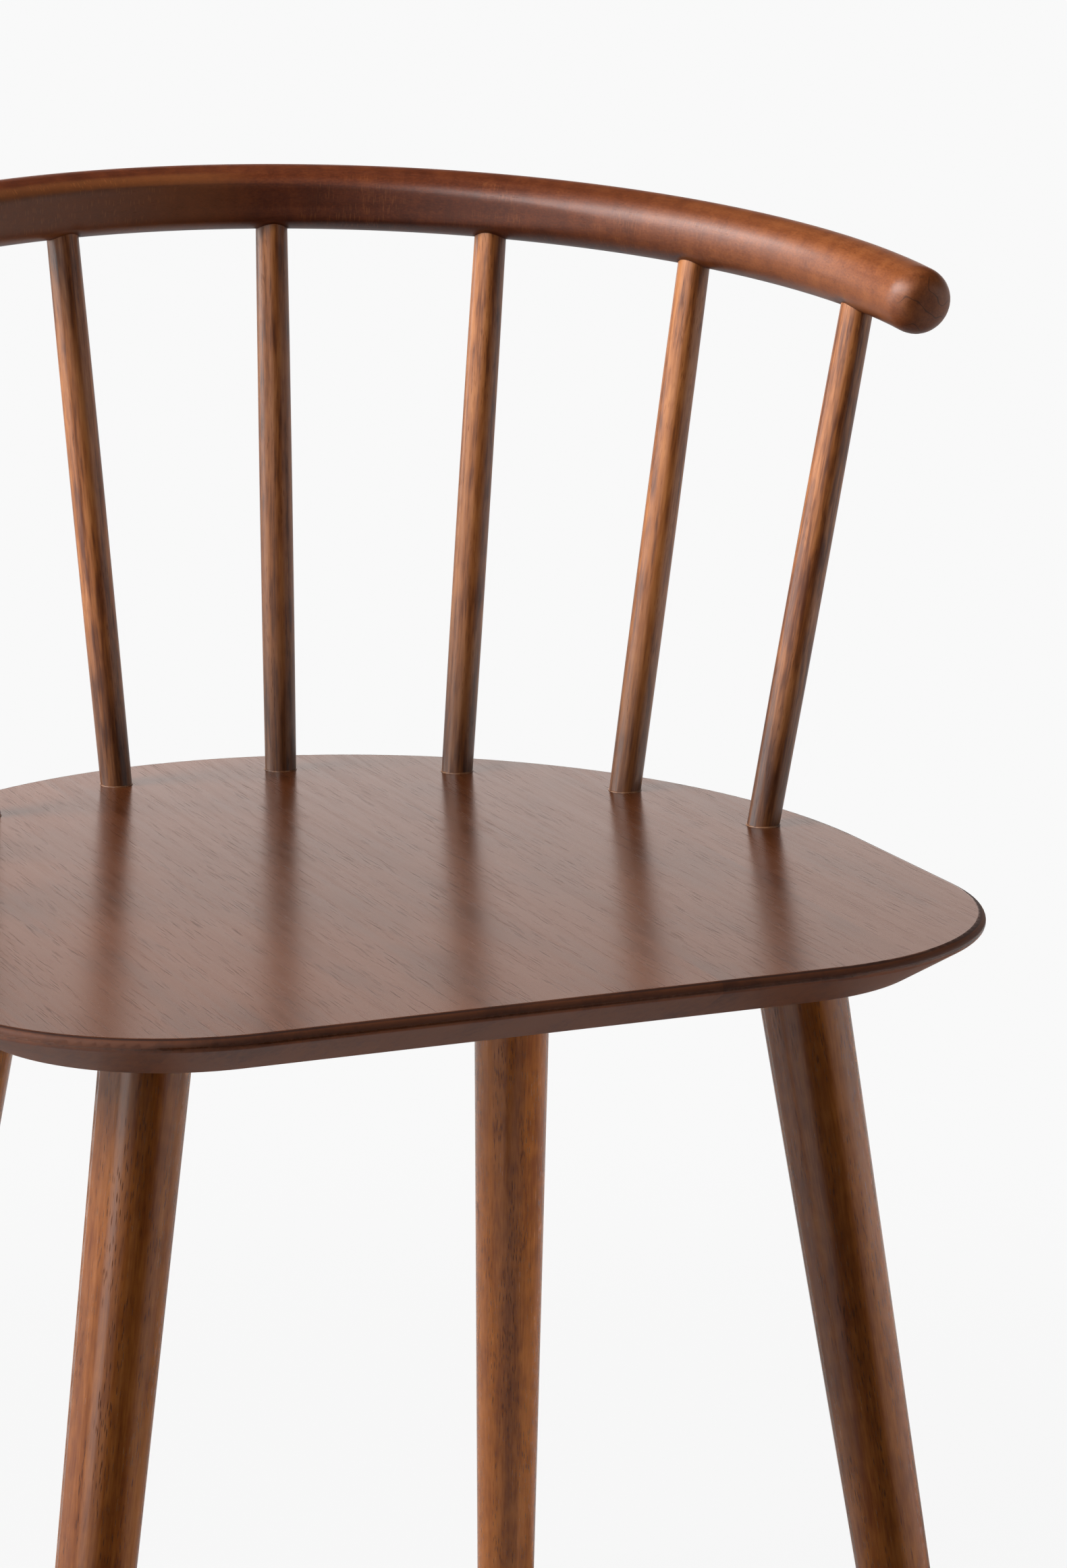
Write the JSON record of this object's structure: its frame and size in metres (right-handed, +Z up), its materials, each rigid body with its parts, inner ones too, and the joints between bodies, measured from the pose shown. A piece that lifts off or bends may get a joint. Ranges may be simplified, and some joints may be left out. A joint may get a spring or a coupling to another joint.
{
  "type": "spindle back chair",
  "caption": "Wooden dining chair with a flat rounded seat, splayed tapered legs and a bent round rail on leaning spindles.",
  "frame": {"origin": "on the floor, at the bottom centre of the chair's box", "axes": "+Z up, the chair faces -Y, +X to the right as seen from the front"},
  "size_m": [0.58, 0.5124, 0.765],
  "materials": {
    "seat_wood": "satin lacquer over walnut stain",
    "rail_wood": "satin lacquer over walnut stain",
    "spindle_wood": "satin lacquer over walnut stain",
    "leg_wood": "satin lacquer over walnut stain",
    "wedge_wood": "bare hardwood",
    "nylon": "matte"
  },
  "bodies": {
    "root": {"seat_board_left_outer": "seat_wood", "seat_board_left_inner": "seat_wood", "seat_board_centre": "seat_wood", "seat_board_right_inner": "seat_wood", "seat_board_right_outer": "seat_wood", "back_rail": "rail_wood", "spindle_1": "spindle_wood", "spindle_2": "spindle_wood", "spindle_3": "spindle_wood", "spindle_4": "spindle_wood", "spindle_5": "spindle_wood", "spindle_6": "spindle_wood", "spindle_7": "spindle_wood", "spindle_8": "spindle_wood", "leg_front_left": "leg_wood", "tenon_wedge_front_left": "wedge_wood", "glide_front_left": "nylon", "leg_front_right": "leg_wood", "tenon_wedge_front_right": "wedge_wood", "glide_front_right": "nylon", "leg_back_left": "leg_wood", "tenon_wedge_back_left": "wedge_wood", "glide_back_left": "nylon", "leg_back_right": "leg_wood", "tenon_wedge_back_right": "wedge_wood", "glide_back_right": "nylon"}
  },
  "joints": []
}
